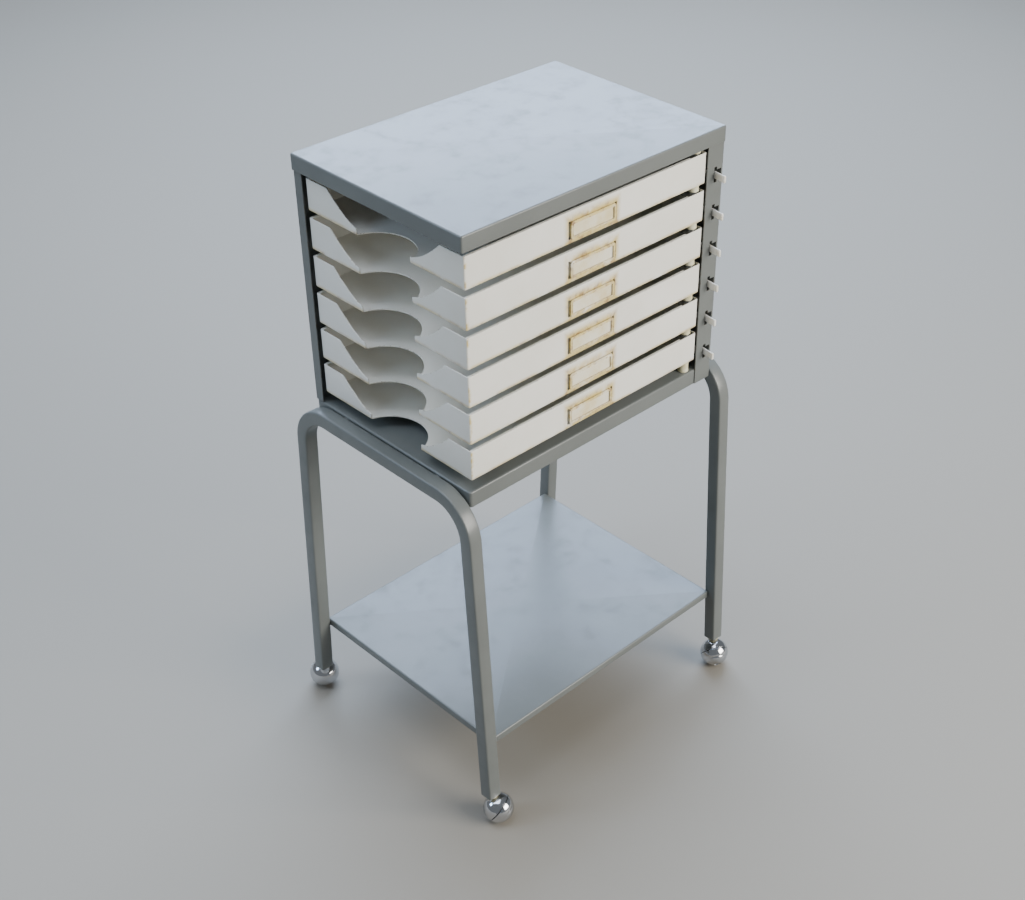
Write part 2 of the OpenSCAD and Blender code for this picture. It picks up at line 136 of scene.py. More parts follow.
world = bpy.data.worlds.new("studio")
world.use_nodes = True
background = world.node_tree.nodes["Background"]
background.inputs["Color"].default_value = rgb("#E4EAF0")
background.inputs["Strength"].default_value = 0.26
bpy.context.scene.world = world

floor_mesh = bpy.data.meshes.new("floor")
floor_mesh.from_pydata([(x * FLOOR_REACH, y * FLOOR_REACH, 0) for x, y in ((-1, -1), (1, -1), (1, 1), (-1, 1))],
                       [], [(0, 1, 2, 3)])
floor = bpy.data.objects.new("floor", floor_mesh)
bpy.context.scene.collection.objects.link(floor)
floor_paint = bpy.data.materials.new("pale_floor")
floor_paint.use_nodes = True
floor_shader = floor_paint.node_tree.nodes["Principled BSDF"]
floor_shader.inputs["Base Color"].default_value = rgb("#8F8A80")
floor_shader.inputs["Roughness"].default_value = 0.75
floor_mesh.materials.append(floor_paint)

# %% [markdown]
# ## Enamel on sheet steel
# Both paints are stoved enamel: a smooth film with a faint orange peel, slightly darker where hands
# and dust have been, and chipped to brown steel along the folds. The chips need to know where the
# edges are, so a bevelled normal is compared with the true one: they only differ near an edge.

# %% Enamel material
TRAY_LOW, TRAY_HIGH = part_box("tray_6")
TRAY_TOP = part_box("tray_1")[1].z
PITCH = (TRAY_TOP - TRAY_HIGH.z) / 5
LABEL_LOW, LABEL_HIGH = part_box("label_holder_6")


def start_material(name):
    """A new material with its node tree and its shader."""
    material = bpy.data.materials.new(name)
    material.use_nodes = True
    tree = material.node_tree
    return material, tree, tree.nodes["Principled BSDF"]


def maths(tree, operation, a, b=0.0):
    """One sum of two values or sockets."""
    return add(tree, "ShaderNodeMath", {0: a, 1: b}, operation=operation).outputs[0]


def noise(tree, place, size, detail=3.0, rough=0.55):
    """A noise whose blotches are about size millimetres across."""
    return add(tree, "ShaderNodeTexNoise", {"Vector": place, "Scale": 1000.0 / size,
               "Detail": detail, "Roughness": rough}).outputs["Fac"]


def ramp(tree, value, low, high):
    """Turns a value into 0 below low and 1 above high."""
    return add(tree, "ShaderNodeMapRange", {"Value": value, "From Min": low, "From Max": high},
               interpolation_type="SMOOTHSTEP").outputs["Result"]


def mix(tree, factor, a, b, blend="MIX"):
    """One colour laid over another by a factor."""
    node = add(tree, "ShaderNodeMix", {0: factor, 6: a, 7: b}, data_type="RGBA", blend_type=blend)
    return node.outputs[2]


def edge_mask(tree, reach):
    """1 along edges and 0 on flats: the bevelled normal turns away from the true one there."""
    soft = add(tree, "ShaderNodeBevel", {"Radius": reach * MM}, samples=6).outputs[0]
    true = add(tree, "ShaderNodeNewGeometry").outputs["Normal"]
    same = add(tree, "ShaderNodeVectorMath", {0: soft, 1: true}, operation="DOT_PRODUCT").outputs["Value"]
    return maths(tree, "SUBTRACT", 1.0, same)


def surface(tree, shader, colour, rough, height, depth, strength, edge_radius):
    """Joins colour, roughness and a bump over gently rounded edges to a shader."""
    round_edge = add(tree, "ShaderNodeBevel", {"Radius": edge_radius}, samples=6).outputs[0]
    bump = add(tree, "ShaderNodeBump", {"Height": height, "Distance": depth, "Strength": strength,
               "Normal": round_edge})
    tree.links.new(colour, shader.inputs["Base Color"])
    tree.links.new(rough, shader.inputs["Roughness"])
    tree.links.new(bump.outputs[0], shader.inputs["Normal"])


def tray_stain(tree, place):
    """Rust that creeps from the label holder, and from the lower fold and near corner of each tray."""
    x, y, z = add(tree, "ShaderNodeSeparateXYZ", {0: place}).outputs
    up = maths(tree, "MODULO", maths(tree, "SUBTRACT", z, TRAY_LOW.z), PITCH)
    mid_x = (LABEL_LOW.x + LABEL_HIGH.x) / 2
    mid_z = (LABEL_LOW.z + LABEL_HIGH.z) / 2 - TRAY_LOW.z
    off_x = maths(tree, "ABSOLUTE", maths(tree, "SUBTRACT", x, mid_x))
    off_z = maths(tree, "ABSOLUTE", maths(tree, "SUBTRACT", up, mid_z))
    out_x = maths(tree, "SUBTRACT", off_x, (LABEL_HIGH.x - LABEL_LOW.x) / 2)
    out_z = maths(tree, "SUBTRACT", off_z, (LABEL_HIGH.z - LABEL_LOW.z) / 2)
    away = maths(tree, "ABSOLUTE", maths(tree, "MAXIMUM", out_x, out_z))
    halo = maths(tree, "SUBTRACT", 1.0, ramp(tree, away, 0.5 * MM, 11 * MM))
    on_front = maths(tree, "LESS_THAN", y, TRAY_LOW.y + 0.8 * MM)
    on_end = maths(tree, "LESS_THAN", x, TRAY_LOW.x + 0.8 * MM)
    outside = maths(tree, "MAXIMUM", on_front, on_end)
    blotch = ramp(tree, noise(tree, place, 20), 0.2, 0.56)
    label = maths(tree, "MULTIPLY", maths(tree, "MULTIPLY", halo, on_front), blotch)
    low_fold = maths(tree, "SUBTRACT", 1.0, ramp(tree, up, 0.5 * MM, 6 * MM))
    patch = ramp(tree, noise(tree, place, 38), 0.32, 0.56)
    fold = maths(tree, "MULTIPLY", maths(tree, "MULTIPLY", low_fold, patch), outside)
    near = maths(tree, "SUBTRACT", 1.0, ramp(tree, maths(tree, "SUBTRACT", x, TRAY_LOW.x), 0.5 * MM, 5 * MM))
    speck = ramp(tree, noise(tree, place, 11), 0.46, 0.66)
    corner = maths(tree, "MULTIPLY", maths(tree, "MULTIPLY", near, on_front), speck)
    total = maths(tree, "ADD", maths(tree, "ADD", label, maths(tree, "MULTIPLY", fold, 0.8)), corner)
    return add(tree, "ShaderNodeClamp", {0: total}).outputs[0]


def enamel(name, colour, shade, rust, rough, chips, stain=None):
    """Stoved enamel on steel, with a darker shade in blotches and rust at its chips.
    More of the edges are chipped as chips goes from 0 to 1, and a stain tints the paint."""
    material, tree, shader = start_material(name)
    place = add(tree, "ShaderNodeTexCoord").outputs["Object"]
    cloud = ramp(tree, noise(tree, place, 130, 4.0), 0.3, 0.75)
    paint = mix(tree, maths(tree, "MULTIPLY", cloud, 0.55), rgb(colour), rgb(shade))
    smear = ramp(tree, noise(tree, place, 28, 5.0, 0.65), 0.45, 0.8)
    paint = mix(tree, maths(tree, "MULTIPLY", smear, 0.22), paint, rgb(shade))
    edge = ramp(tree, edge_mask(tree, 1.6), 0.03, 0.25)
    bitten = ramp(tree, noise(tree, place, 5, 5.0, 0.7), 1.0 - chips, 1.06 - chips)
    chip = maths(tree, "MULTIPLY", edge, bitten)
    dots = add(tree, "ShaderNodeTexVoronoi", {"Vector": place, "Scale": 1000.0 / 17, "Randomness": 1.0})
    dot = maths(tree, "SUBTRACT", 1.0, ramp(tree, dots.outputs["Distance"], 0.02, 0.075))
    rare = ramp(tree, noise(tree, place, 75), 0.72, 0.76)
    chip = maths(tree, "MAXIMUM", chip, maths(tree, "MULTIPLY", dot, rare))
    brown = mix(tree, noise(tree, place, 3), rgb(rust), rgb("#4B3B2A"))
    if stain:
        spread = stain(tree, place)
        tint = mix(tree, ramp(tree, noise(tree, place, 8, 4.0), 0.45, 0.75), rgb("#E6D084"), rgb("#9A6C2C"))
        paint = mix(tree, maths(tree, "MULTIPLY", spread, 0.92), paint, tint, "MULTIPLY")
    colour_out = mix(tree, chip, paint, brown)
    peel = noise(tree, place, 1.6, 1.0)
    sag = noise(tree, place, 90, 1.0)
    height = maths(tree, "ADD", maths(tree, "MULTIPLY", peel, 0.012), maths(tree, "MULTIPLY", sag, 0.5))
    height = maths(tree, "SUBTRACT", height, maths(tree, "MULTIPLY", chip, 0.08))
    dull = maths(tree, "ADD", maths(tree, "MULTIPLY", smear, 0.16), rough)
    dull = maths(tree, "ADD", dull, maths(tree, "MULTIPLY", chip, 0.35))
    surface(tree, shader, colour_out, dull, height, depth=1.0 * MM, strength=0.6, edge_radius=0.7 * MM)
    shader.inputs["IOR"].default_value = 1.52
    return material


grey_enamel = enamel("grey_stoved_enamel", colour="#6E7270", shade="#5F6361", rust="#6B5233", rough=0.32, chips=0.49)
cream_enamel = enamel("off_white_stoved_enamel", colour="#F1F0E9", shade="#E2E0D3", rust="#8A5A2C", rough=0.34,
                      chips=0.46, stain=tray_stain)
print("enamels made")

# %% [markdown]
# ## Bare metal, nylon, plastic and card
# The rod and levers are zinc-plated steel with fine drawing lines, the casters are bright chrome gone
# slightly cloudy, the spacers are natural nylon yellowed by age, and the lever caps white polystyrene.

# %% Metal and plastic materials
def metal(name, colour, dark, rough, grain, tarnish):
    """A bare or plated metal with fine lines along Z and darker tarnish in blotches."""
    material, tree, shader = start_material(name)
    place = add(tree, "ShaderNodeTexCoord").outputs["Object"]
    drawn = add(tree, "ShaderNodeMapping", {"Vector": place, "Scale": (1.0, 1.0, 0.06)}).outputs[0]
    lines = noise(tree, drawn, grain, 2.0)
    cloud = ramp(tree, noise(tree, place, 7, 5.0, 0.7), 1.0 - tarnish, 1.2 - tarnish)
    paint = mix(tree, cloud, rgb(colour), rgb(dark))
    dull = maths(tree, "ADD", maths(tree, "MULTIPLY", lines, rough * 0.5), rough)
    dull = maths(tree, "ADD", dull, maths(tree, "MULTIPLY", cloud, 0.25))
    surface(tree, shader, paint, dull, lines, depth=0.03 * MM, strength=0.5, edge_radius=0.4 * MM)
    shader.inputs["Metallic"].default_value = 1.0
    return material


def plastic(name, colour, aged, rough, ior, speck):
    """A moulded plastic with a fine texture, yellowed in soft patches."""
    material, tree, shader = start_material(name)
    place = add(tree, "ShaderNodeTexCoord").outputs["Object"]
    patch = ramp(tree, noise(tree, place, speck, 4.0), 0.35, 0.75)
    paint = mix(tree, patch, rgb(colour), rgb(aged))
    grime = ramp(tree, edge_mask(tree, 1.0), 0.05, 0.4)
    paint = mix(tree, maths(tree, "MULTIPLY", grime, 0.25), paint, rgb("#8A7B5C"))
    fine = noise(tree, place, 0.8, 1.0)
    dull = maths(tree, "ADD", maths(tree, "MULTIPLY", patch, 0.12), rough)
    surface(tree, shader, paint, dull, fine, depth=0.03 * MM, strength=0.5, edge_radius=0.6 * MM)
    shader.inputs["IOR"].default_value = ior
    return material


plated_steel = metal("zinc_plated_steel", "#A9ABAB", "#6E6250", rough=0.3, grain=0.9, tarnish=0.42)
cloudy_chrome = metal("cloudy_chrome", "#C9CBCE", "#7C7466", rough=0.1, grain=1.2, tarnish=0.36)
old_nylon = plastic("natural_nylon", "#E3E0C4", "#CCC394", rough=0.45, ior=1.53, speck=12)
white_plastic = plastic("white_polystyrene", "#F2F1EC", "#E3DDCB", rough=0.32, ior=1.59, speck=12)
old_card = plastic("index_card", "#EAE5D2", "#DCCDA0", rough=0.85, ior=1.45, speck=30)

# %% [markdown]
# ## Helpers for pieces
# A finished piece is a plain mesh whose place is in its points. It replaces a measured piece of the
# same size, and rides on the same body, so it moves with the joint.

# %% Mesh helpers
def piece(name, mesh, material, body, stands_for=()):
    """Links a finished mesh, gives it a finish and lets it ride on a body."""
    mesh.name = name
    mesh.materials.clear()
    mesh.materials.append(material)
    thing = bpy.data.objects.new(name, mesh)
    bpy.context.scene.collection.objects.link(thing)
    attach(thing, body)
    if stands_for:
        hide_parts(*stands_for)
    return thing


def mesh_from(verts, faces, smooth=35):
    """A mesh with outward faces, smooth except across edges sharper than the angle."""
    work = bmesh.new()
    points = [work.verts.new(v) for v in verts]
    for face in faces:
        work.faces.new([points[k] for k in face])
    return finish_mesh(work, smooth)


def finish_mesh(work, smooth=35):
    """Turns a mesh being built into a finished one, with its faces outward and its sharp edges marked."""
    bmesh.ops.remove_doubles(work, verts=work.verts, dist=1e-6)
    bmesh.ops.recalc_face_normals(work, faces=work.faces)
    for face in work.faces:
        face.smooth = True
    limit = math.radians(smooth)
    for edge in work.edges:
        edge.smooth = len(edge.link_faces) == 2 and edge.calc_face_angle(0.0) < limit
    mesh = bpy.data.meshes.new("work")
    work.to_mesh(mesh)
    work.free()
    return mesh


def ring(low, high, inset, radius, z, steps=6):
    """A rectangle with round corners at height z, set in from the box's sides."""
    r = max(radius - inset, 0.15 * MM)
    x0, x1 = low.x + inset + r, high.x - inset - r
    y0, y1 = low.y + inset + r, high.y - inset - r
    points = []
    for cx, cy, start in ((x1, y1, 0), (x0, y1, 90), (x0, y0, 180), (x1, y0, 270)):
        for k in range(steps + 1):
            a = math.radians(start + 90 * k / steps)
            points.append((cx + r * math.cos(a), cy + r * math.sin(a), z))
    return points


def loft(rings, centre_lift=None, hoop=False):
    """Joins rings of equal length and closes both ends; the first end may rise to a centre point.
    As a hoop, the last ring joins the first one instead."""
    count = len(rings[0])
    if hoop:
        rings = rings + [rings[0]]
    verts = [p for line in rings for p in line]
    faces = []
    for row in range(len(rings) - 1):
        for k in range(count):
            a, b = row * count + k, row * count + (k + 1) % count
            faces.append((a, b, b + count, a + count))
    if hoop:
        return verts, faces
    if centre_lift is None:
        faces.append(tuple(range(count)))
    else:
        middle = sum((Vector(p) for p in rings[0]), Vector()) / count
        verts.append(tuple(middle + Vector((0, 0, centre_lift))))
        faces += [(k, (k + 1) % count, len(verts) - 1) for k in range(count)]
    last = (len(rings) - 1) * count
    faces.append(tuple(range(last, last + count)))
    return verts, faces


def plain_box(work, low, high):
    """Adds a box to a mesh being built and gives its corners."""
    made = bmesh.ops.create_cube(work, size=1.0)["verts"]
    bmesh.ops.scale(work, vec=Vector(high) - Vector(low), verts=made)
    bmesh.ops.translate(work, vec=(Vector(high) + Vector(low)) / 2, verts=made)
    return made


def soft_box(work, low, high, radius, segments=3):
    """Adds a box with rounded edges to a mesh being built."""
    made = plain_box(work, low, high)
    edges = list({edge for vert in made for edge in vert.link_edges})
    bmesh.ops.bevel(work, geom=edges, offset=radius, segments=segments, profile=0.5, affect="EDGES")


def shifted(mesh, lift):
    """A copy of a mesh, moved up."""
    copy = mesh.copy()
    copy.transform(Matrix.Translation((0, 0, lift)))
    return copy


# %% [markdown]
# ## Lid, base and shelf
# All three are folded pans of sheet steel, open underneath. Rings of points, from the middle of the
# top, over the bend, down the lip and back up inside, give each one a real bend radius and a real
# sheet thickness. The shelf is cross-broken: its sheet rises a little to the centre, which keeps a
# large thin sheet from drumming and shows as four faint triangles.

# %% Folded pans
SHEET = 1.2 * MM


BURR = 0.3 * MM
CROSS_BREAK = 2.0 * MM


def quarter_turn(steps):
    """The angles of a bend through 90 degrees."""
    return [math.radians(90 * k / steps) for k in range(steps + 1)]


def folded_pan(node, corner, bend, lift=None):
    """A sheet with its lips folded down, open underneath; its middle may rise."""
    low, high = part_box(node)
    rings = [ring(low, high, bend * (1 - math.sin(a)), corner, high.z - bend * (1 - math.cos(a)))
             for a in quarter_turn(5)]
    for inset, z in ((0, low.z + BURR), (BURR, low.z), (SHEET, low.z), (SHEET, high.z - bend),
                     (bend, high.z - SHEET)):
        rings.append(ring(low, high, inset, corner, z))
    return mesh_from(*loft(rings, lift))


lid_sheet = folded_pan("lid", corner=2.4 * MM, bend=2.2 * MM)
base_sheet = folded_pan("base_pan", corner=4 * MM, bend=2.4 * MM)
shelf_sheet = folded_pan("shelf", corner=3 * MM, bend=2.4 * MM, lift=CROSS_BREAK)
piece("lid_sheet", lid_sheet, grey_enamel, "cabinet", ("lid",))
piece("base_sheet", base_sheet, grey_enamel, "cabinet", ("base_pan",))
piece("shelf_sheet", shelf_sheet, grey_enamel, "cabinet", ("shelf",))

# %% [markdown]
# ## Bent-tube frames
# Each end frame is one square tube, bent twice. A path goes up one leg, round the bends and down the
# other, and Geometry Nodes sweep a square with rounded corners along it, as the real tube's corners are.

# %% Tube frames
LEG_SPLAY = math.radians(2.9)
TUBE_BEND = 50 * MM
TUBE_CORNER = 2.4 * MM


def frame_path(node, steps=20):
    """The middle line of a frame in its upright plane, from foot to foot."""
    low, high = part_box(node)
    side = high.x - low.x
    x = (low.x + high.x) / 2
    bar_z = high.z - side / 2
    foot_y = high.y - side / 2 / math.cos(LEG_SPLAY)
    leg_y = foot_y - (bar_z - low.z) * math.tan(LEG_SPLAY)
    run = TUBE_BEND * math.tan((math.pi / 2 - LEG_SPLAY) / 2)
    half = [(foot_y, low.z)]
    for k in range(steps + 1):
        a = LEG_SPLAY + (math.pi / 2 - LEG_SPLAY) * k / steps
        half.append((leg_y - run + TUBE_BEND * math.cos(a), bar_z - TUBE_BEND + TUBE_BEND * math.sin(a)))
    return [Vector((x, y, z)) for y, z in half] + [Vector((x, -y, z)) for y, z in reversed(half)]


def shape_group(name, **inputs):
    """A new Geometry Nodes group with the named inputs; gives the group and its inputs' sockets."""
    tree = bpy.data.node_groups.new(name, "GeometryNodeTree")
    tree.interface.new_socket("Geometry", in_out="INPUT", socket_type="NodeSocketGeometry")
    for label, kind in inputs.items():
        tree.interface.new_socket(label, in_out="INPUT", socket_type="NodeSocket" + kind)
    tree.interface.new_socket("material", in_out="INPUT", socket_type="NodeSocketMaterial")
    tree.interface.new_socket("Geometry", in_out="OUTPUT", socket_type="NodeSocketGeometry")
    return tree, add(tree, "NodeGroupInput").outputs


def finish_group(tree, inlet, shape):
    """Gives a group's shape its material and sends it to the group's output."""
    real = add(tree, "GeometryNodeRealizeInstances", {0: shape.outputs[0]})
    painted = add(tree, "GeometryNodeSetMaterial", {0: real.outputs[0], "Material": inlet["material"]})
    add(tree, "NodeGroupOutput", {0: painted.outputs[0]})
    return tree


def sweep_tree():
    """Geometry Nodes that sweep a rounded square along a curve."""
    tree, inlet = shape_group("square_tube", side="Float", corner_radius="Float")
    square = add(tree, "GeometryNodeCurvePrimitiveQuadrilateral", {"Width": inlet["side"], "Height": inlet["side"]})
    rounded = add(tree, "GeometryNodeFilletCurve", {"Curve": square.outputs[0], "Radius": inlet["corner_radius"],
                  "Count": 4}, mode="POLY")
    tube = add(tree, "GeometryNodeCurveToMesh", {"Curve": inlet["Geometry"], "Profile Curve": rounded.outputs[0],
               "Fill Caps": True})
    return finish_group(tree, inlet, tube)


def set_inputs(modifier, **values):
    """Sets a modifier's inputs by their sockets' identifiers."""
    for item in modifier.node_group.interface.items_tree:
        if item.in_out == "INPUT" and item.name in values:
            modifier[item.identifier] = values[item.name]


def evaluated(holder):
    """The holder's finished mesh; the holder itself is removed."""
    bpy.context.view_layer.update()
    mesh = bpy.data.meshes.new_from_object(holder.evaluated_get(bpy.context.evaluated_depsgraph_get()))
    bpy.data.objects.remove(holder)
    return mesh


def joined(meshes, smooth=35):
    """Several meshes as one finished mesh."""
    work = bmesh.new()
    for mesh in meshes:
        work.from_mesh(mesh)
    return finish_mesh(work, smooth)


tube_tree = sweep_tree()
for side_name in ("left", "right"):
    node = side_name + "_frame"
    line = bpy.data.curves.new(node, "CURVE")
    line.dimensions = "3D"
    path = frame_path(node)
    spline = line.splines.new("POLY")
    spline.points.add(len(path) - 1)
    for point, place in zip(spline.points, path):
        point.co = (*place, 1.0)
    holder = bpy.data.objects.new(node, line)
    bpy.context.scene.collection.objects.link(holder)
    modifier = holder.modifiers.new("tube", "NODES")
    modifier.node_group = tube_tree
    low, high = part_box(node)
    set_inputs(modifier, side=high.x - low.x, corner_radius=TUBE_CORNER, material=grey_enamel)
    piece(node + "_tube", joined([evaluated(holder)], 40), grey_enamel, "cabinet", (node,))
    print(node, "swept along", len(path), "points")

# %% [markdown]
# ## Trays
# A tray is a pan the right way up, with a hand scoop in its open end: the wall dips in a flowing
# line to the floor and the floor has a round notch. The shape is lofted like the lid, and the scoop,
# the label slots and the rod hole are cut with booleans, as the real blank is punched.

# %% Tray mesh
SCOOP_RIM, SCOOP_FLOOR = 95.5 * MM, 46 * MM
SCOOP_LIP, SCOOP_DEEP = 6.5 * MM, 35 * MM
LABEL_SLOT, LABEL_WALL = 2.4 * MM, 0.8 * MM
SLEEVE = 6.3 * MM
THROUGH = 3 * MM
INNER_BEND = 0.6 * MM
HEM_WIDE, HEM_HIGH, HEM_RADIUS = 3.2 * MM, 2.1 * MM, 0.9 * MM
ROD = Vector(JOINTS["tray_1_swing"]["pos_m"])


def prism(outline, axis, start, end):
    """A closed prism of an outline: along x the outline is (y, z), along z it is (x, y)."""
    count = len(outline)
    verts = [(t, *p) if axis == "x" else (*p, t) for t in (start, end) for p in outline]
    faces = [tuple(range(count)), tuple(range(count, 2 * count))]
    faces += [(k, (k + 1) % count, count + (k + 1) % count, count + k) for k in range(count)]
    return mesh_from(verts, faces)


def scoop_line(middle, floor_z, rim_z, steps=24):
    """The scoop's flowing outline: a short upright edge beside the notch, then a curve out to the rim."""
    lip_z = floor_z + SCOOP_LIP
    half = [(SCOOP_FLOOR, floor_z)]
    for k in range(steps + 1):
        half.append((SCOOP_FLOOR + (SCOOP_RIM - SCOOP_FLOOR) * (k / steps) ** (2 / 3),
                     lip_z + (rim_z - lip_z) * k / steps))
    half.append((SCOOP_RIM, rim_z + 5 * MM))
    return [(middle + y, z) for y, z in half] + [(middle - y, z) for y, z in reversed(half)]


def notch_line(x0, middle, deep, half, steps=32):
    """The round notch in the tray floor, open past the tray's end."""
    radius = (half * half + deep * deep) / (2 * deep)
    spread = math.asin(min(1.0, half / radius))
    arc = [(x0 + deep - radius + radius * math.cos(a), middle + radius * math.sin(a))
           for a in (spread * (2 * k / steps - 1) for k in range(steps + 1))]
    outside = x0 - 4 * MM
    return [(outside, middle - half)] + arc + [(outside, middle + half)]


def cut(mesh, cutters):
    """Cuts closed meshes out of a mesh."""
    target = bpy.data.objects.new("target", mesh)
    bpy.context.scene.collection.objects.link(target)
    blades = []
    for cutter in cutters:
        blade = bpy.data.objects.new("blade", cutter)
        bpy.context.scene.collection.objects.link(blade)
        blades.append(blade)
        step = target.modifiers.new("cut", "BOOLEAN")
        step.operation = "DIFFERENCE"
        step.solver = "EXACT"
        step.object = blade
    result = evaluated(target)
    for blade in blades:
        bpy.data.objects.remove(blade)
    return result


def box_mesh(low, high):
    """A finished plain box."""
    work = bmesh.new()
    plain_box(work, low, high)
    return finish_mesh(work)


def tray_mesh():
    """The lowest tray; the others are copies of it, moved up."""
    low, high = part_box("tray_6")
    middle = (low.y + high.y) / 2
    corner, bend = 2.2 * MM, 1.8 * MM
    rings = [ring(low, high, bend * (1 - math.sin(a)), corner, low.z + bend * (1 - math.cos(a)))
             for a in quarter_turn(4)]
    for inset, z in ((0, high.z - BURR), (BURR, high.z), (SHEET - BURR, high.z), (SHEET, high.z - BURR),
                     (SHEET, low.z + SHEET + INNER_BEND), (SHEET + INNER_BEND, low.z + SHEET)):
        rings.append(ring(low, high, inset, corner, z))
    body = mesh_from(*loft(rings))
    scoop = prism(scoop_line(middle, low.z + SHEET, high.z), "x", low.x - THROUGH, low.x + 3.2 * MM)
    notch = prism(notch_line(low.x, middle, SCOOP_DEEP, SCOOP_FLOOR), "z", low.z - THROUGH, low.z + THROUGH)
    slots = []
    for edge, sign in ((LABEL_LOW.x, -1), (LABEL_HIGH.x, 1)):
        inner, outer = edge - sign * LABEL_WALL, edge + sign * LABEL_SLOT
        slots.append(box_mesh((min(inner, outer), low.y - 2 * MM, LABEL_LOW.z),
                              (max(inner, outer), low.y + 2.4 * MM, LABEL_HIGH.z)))
    hole = prism([(ROD.x + SLEEVE * math.cos(a), ROD.y + SLEEVE * math.sin(a))
                  for a in (math.tau * k / 40 for k in range(40))], "z", low.z - THROUGH, low.z + THROUGH)
    punched = cut(body, [scoop, notch, hole] + slots)
    work = bmesh.new()
    work.from_mesh(punched)
    for y0 in (low.y + SHEET * 0.9, high.y - SHEET * 0.9 - HEM_WIDE):
        soft_box(work, (low.x + 2 * MM, y0, high.z - HEM_HIGH), (ROD.x - 16 * MM, y0 + HEM_WIDE, high.z), HEM_RADIUS)
    return finish_mesh(work, 32)


def lift_of(number):
    """How far a tray stands above the lowest one."""
    return (len(TRAYS) - number) * PITCH


bottom_tray = tray_mesh()
for number in TRAYS:
    sheet = shifted(bottom_tray, lift_of(number))
    piece(f"tray_sheet_{number}", sheet, cream_enamel, f"swing_tray_{number}", (f"tray_{number}",))
print("tray faces", len(bottom_tray.polygons))

# %% [markdown]
# ## Label holders and cards
# A label holder is a small pressed frame, hooked into two slots in the tray front. Its window edge is
# turned and rounded. A card slides in behind it.

# %% Label holders
LABEL_BORDER, LABEL_CORNER = 3.5, 3.9 * MM
CARD_CLEARANCE = 1.2 * MM


def label_mesh():
    """The holder's face is one hoop with a rolled window edge; two hooks run back from its ends.
    The section goes round the hoop's edge as millimetres inwards and back."""
    low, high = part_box("label_holder_6")
    flat_low, flat_high = Vector((low.x, low.z, 0)), Vector((high.x, high.z, 0))
    section = ((0.3, 0), (0, 0.3), (0, 0.8), (LABEL_BORDER, 0.8), (LABEL_BORDER, -0.1),
               (LABEL_BORDER - 0.3, -0.4), (LABEL_BORDER - 0.8, -0.4), (LABEL_BORDER - 1.1, 0))
    hoop = [[(x, low.y + deep * MM, z) for x, z, _ in ring(flat_low, flat_high, inset * MM, LABEL_CORNER, 0)]
            for inset, deep in section]
    work = bmesh.new()
    work.from_mesh(mesh_from(*loft(hoop, hoop=True)))
    for x0 in (low.x, high.x - LABEL_WALL):
        soft_box(work, (x0, low.y + 0.4 * MM, low.z + 3 * MM), (x0 + LABEL_WALL, high.y, high.z - 3 * MM), 0.25 * MM)
    return finish_mesh(work, 32)


label_frame = label_mesh()
card_work = bmesh.new()
soft_box(card_work, (LABEL_LOW.x + CARD_CLEARANCE, TRAY_LOW.y - 0.75 * MM, LABEL_LOW.z + 1.0 * MM),
         (LABEL_HIGH.x - CARD_CLEARANCE, TRAY_LOW.y - 0.35 * MM, LABEL_HIGH.z - 1.0 * MM), 0.1 * MM, 1)
card = finish_mesh(card_work)
for number in TRAYS:
    lift = lift_of(number)
    body = f"swing_tray_{number}"
    piece(f"label_frame_{number}", shifted(label_frame, lift), cream_enamel, body,
          (f"label_holder_{number}",))
    piece(f"label_card_{number}", shifted(card, lift), old_card, body)

# %% [markdown]
# ## Levers and caps
# The strip lever keeps its measured shape and gets a plated finish. Its cap is a moulded sleeve with
# a rounded nose, so it is built as a soft box in line with the tab, then turned into place.

# %% Lever caps
TAB_RADIUS, TAB_TILT, TAB_FRONT = 28.6 * MM, math.radians(8), 18.5 * MM
CAP_HALF, NOSE_HALF, NOSE_LONG = 1.5 * MM, 1.9 * MM, 4.2 * MM
POST_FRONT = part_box("front_post")[0].y


def cap_mesh():
    """A slim sleeve with a thicker, rounded finger end, built in line with the tab."""
    low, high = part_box("lever_cap_6")
    to_post = ROD.y - POST_FRONT - SHEET / 2
    end = (to_post - TAB_RADIUS * math.sin(TAB_TILT)) / math.cos(TAB_TILT) + TAB_FRONT
    work = bmesh.new()
    soft_box(work, (-CAP_HALF, -end + 1 * MM, low.z), (CAP_HALF, -3 * MM, high.z), 1.1 * MM, 4)
    nose_low, nose_high = low.z - 0.3 * MM, high.z + 0.3 * MM
    soft_box(work, (-NOSE_HALF, -end, nose_low), (NOSE_HALF, -end + NOSE_LONG, nose_high), 1.5 * MM, 4)
    mesh = finish_mesh(work, 40)
    turn = Matrix.Translation((ROD.x, ROD.y, 0)) @ Matrix.Rotation(-TAB_TILT, 4, "Z")
    mesh.transform(turn @ Matrix.Translation((TAB_RADIUS, 0, 0)))
    return mesh


lever_cap = cap_mesh()
for number in TRAYS:
    piece(f"cap_{number}", shifted(lever_cap, lift_of(number)), white_plastic,
          f"swing_tray_{number}", (f"lever_cap_{number}",))

# %% [markdown]
# ## Spacers
# Between two trays a turned nylon spacer carries the weight. One profile is spun for each gap: a short
# cylinder with chamfered ends and a shallow waist.

# %% Spacers
ON_AXIS = 1e-7
SPACER_PLAY = 0.3 * MM


